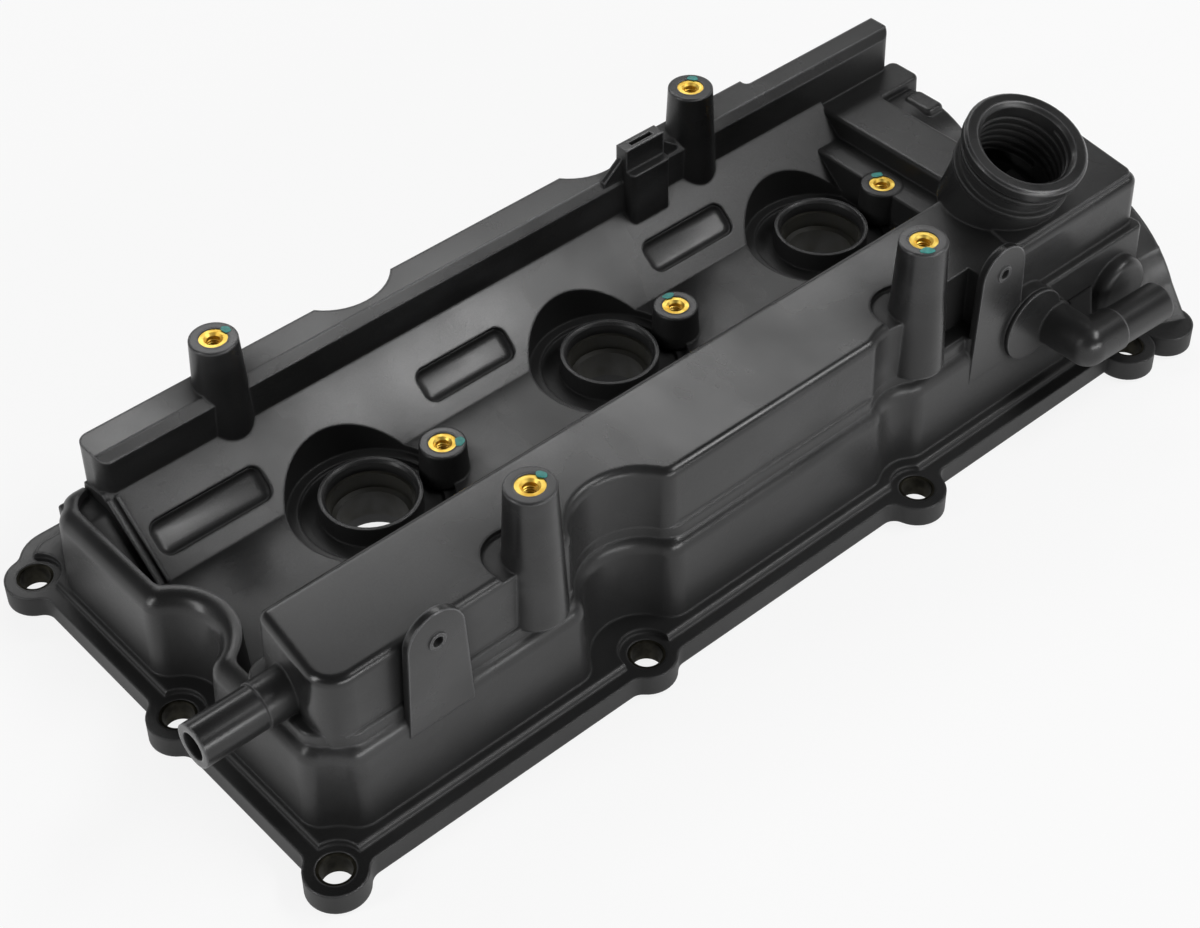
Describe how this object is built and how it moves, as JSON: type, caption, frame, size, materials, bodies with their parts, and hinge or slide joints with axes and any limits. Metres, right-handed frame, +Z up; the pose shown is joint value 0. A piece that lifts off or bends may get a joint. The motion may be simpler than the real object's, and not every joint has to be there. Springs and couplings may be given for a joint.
{
  "type": "engine valve cover",
  "caption": "Black moulded plastic valve cover with a breather platform, plug wells, oil filler neck, breather tubes, brass inserts, sleeved bolt ears, gasket and baffle plate.",
  "frame": {"origin": "axis of the middle spark plug bore, where it crosses the sealing plane under the flange", "axes": "+X along the row of spark plug bores towards the oil filler end, +Y from the breather platform towards the far rail, +Z up, away from the cylinder head"},
  "size_m": [0.4214, 0.2066, 0.1076],
  "materials": {
    "moulded_plastic": "glass-filled nylon, semi-gloss",
    "insert_brass": "turned",
    "sleeve_steel": "dark passivated",
    "gasket_rubber": "moulded",
    "seal_rubber": "moulded"
  },
  "bodies": {
    "root": {"cover_body": "moulded_plastic", "perimeter_gasket": "gasket_rubber", "baffle_plate": "moulded_plastic", "breather_elbow": "moulded_plastic", "plug_tube_seal_1": "seal_rubber", "plug_tube_seal_2": "seal_rubber", "plug_tube_seal_3": "seal_rubber", "coil_insert_1": "insert_brass", "coil_insert_2": "insert_brass", "coil_insert_3": "insert_brass", "near_insert_1": "insert_brass", "near_insert_2": "insert_brass", "far_insert_1": "insert_brass", "far_insert_2": "insert_brass", "flange_sleeve_1": "sleeve_steel", "flange_sleeve_2": "sleeve_steel", "flange_sleeve_3": "sleeve_steel", "flange_sleeve_4": "sleeve_steel", "flange_sleeve_5": "sleeve_steel", "flange_sleeve_6": "sleeve_steel", "flange_sleeve_7": "sleeve_steel", "flange_sleeve_8": "sleeve_steel", "flange_sleeve_9": "sleeve_steel", "flange_sleeve_10": "sleeve_steel"}
  },
  "joints": []
}
